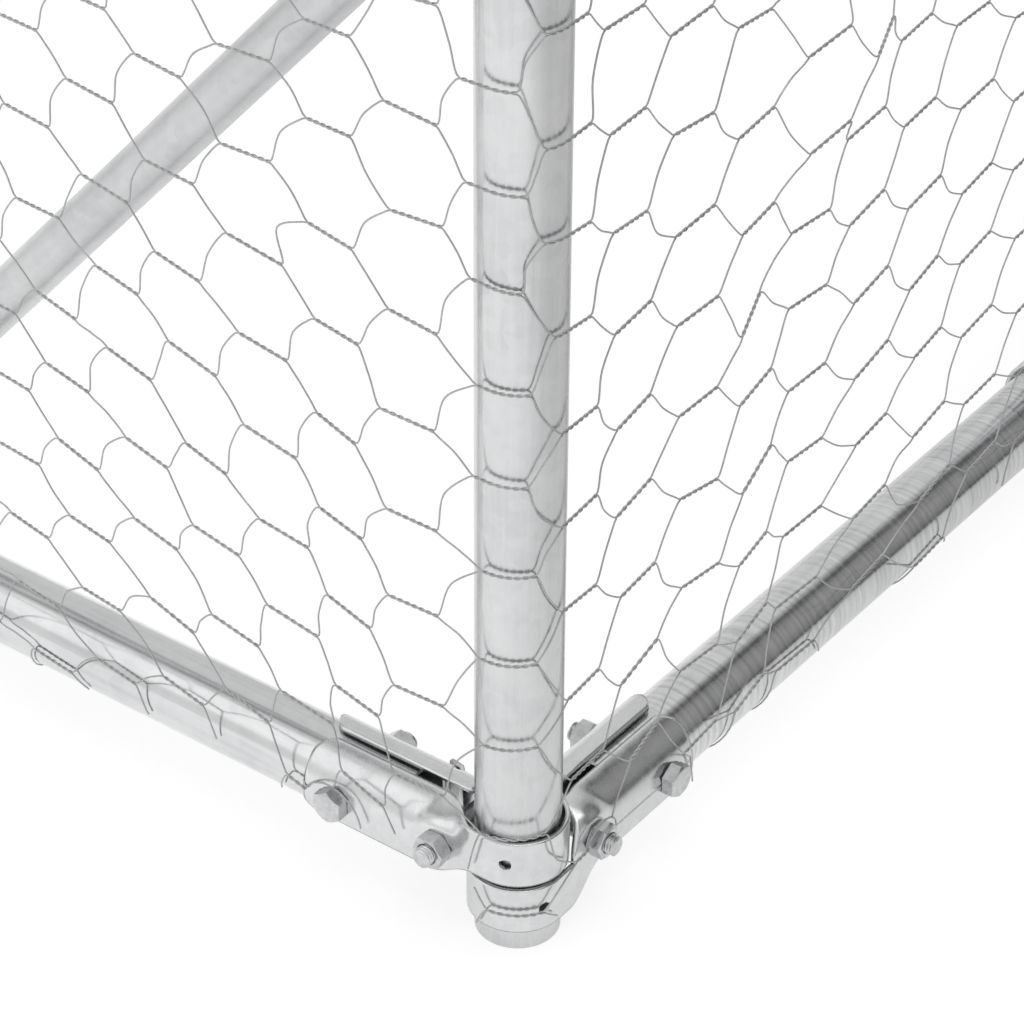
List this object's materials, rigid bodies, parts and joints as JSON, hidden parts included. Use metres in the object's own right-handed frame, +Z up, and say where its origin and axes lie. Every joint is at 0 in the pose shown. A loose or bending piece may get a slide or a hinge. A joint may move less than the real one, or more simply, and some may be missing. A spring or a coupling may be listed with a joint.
{
  "type": "dog kennel run",
  "caption": "Outdoor dog run: clamped galvanised tube frame with wire netting walls, open top, hinged netting door and slide latch.",
  "frame": {"origin": "middle of the plan, on the ground under the corner posts", "axes": "+Z up, +Y along the long sides away from the door wall, +X to the right for someone facing the door wall from outside"},
  "size_m": [1.5558, 2.0562, 1.5],
  "materials": {
    "frame_tube": "galvanised, satin",
    "brace_tube": "galvanised, satin",
    "door_tube": "galvanised, satin",
    "clamp_sheet": "zinc plated, bright",
    "fastener_zinc": "zinc plated, bright",
    "latch_zinc": "zinc plated, satin",
    "netting_wire": "galvanised wire"
  },
  "bodies": {
    "frame": {"post_front_left": "frame_tube", "post_front_right": "frame_tube", "post_rear_left": "frame_tube", "post_rear_right": "frame_tube", "mid_post_left": "frame_tube", "mid_post_right": "frame_tube", "hinge_post": "frame_tube", "latch_post": "frame_tube", "bottom_rail_left": "frame_tube", "bottom_rail_right": "frame_tube", "bottom_rail_front": "frame_tube", "bottom_rail_rear": "frame_tube", "top_rail_left": "frame_tube", "top_rail_right": "frame_tube", "top_rail_front": "frame_tube", "top_rail_rear": "frame_tube", "brace_front_left": "brace_tube", "brace_front_right": "brace_tube", "brace_rear_left": "brace_tube", "brace_rear_right": "brace_tube", "clamps_front_left_bottom": "clamp_sheet", "clamps_front_right_bottom": "clamp_sheet", "clamps_rear_left_bottom": "clamp_sheet", "clamps_rear_right_bottom": "clamp_sheet", "clamps_front_left_top": "clamp_sheet", "clamps_front_right_top": "clamp_sheet", "clamps_rear_left_top": "clamp_sheet", "clamps_rear_right_top": "clamp_sheet", "tee_clamps_left": "clamp_sheet", "tee_clamps_right": "clamp_sheet", "tee_clamps_hinge_post": "clamp_sheet", "tee_clamps_latch_post": "clamp_sheet", "clamp_bolts": "fastener_zinc", "clamp_nuts": "fastener_zinc", "brace_bolts": "fastener_zinc", "brace_nuts": "fastener_zinc", "net_left": "netting_wire", "net_right": "netting_wire", "net_rear": "netting_wire", "net_front_left": "netting_wire", "net_front_right": "netting_wire", "hinge_pintles": "fastener_zinc", "pintle_nuts": "fastener_zinc", "latch_keep": "latch_zinc", "latch_keep_screws": "fastener_zinc"},
    "door": {"door_hinge_stile": "door_tube", "door_latch_stile": "door_tube", "door_top_rail": "door_tube", "door_mid_rail": "door_tube", "door_bottom_rail": "door_tube", "door_net": "netting_wire", "hinge_eyes": "fastener_zinc", "eye_nuts": "fastener_zinc", "latch_plate": "latch_zinc", "latch_plate_screws": "fastener_zinc"},
    "latch_bar": {"latch_bar": "latch_zinc"}
  },
  "joints": [
    {"name": "door_swing", "type": "hinge", "parent": "frame", "child": "door", "pos_m": [0.32029, -1.0035, 0.3], "axis": [0, 0, 1], "range_deg": [0, 105]},
    {"name": "latch_slide", "type": "slide", "parent": "door", "child": "latch_bar", "axis": [-1, 0, 0], "range_m": [0, 0.046]}
  ]
}
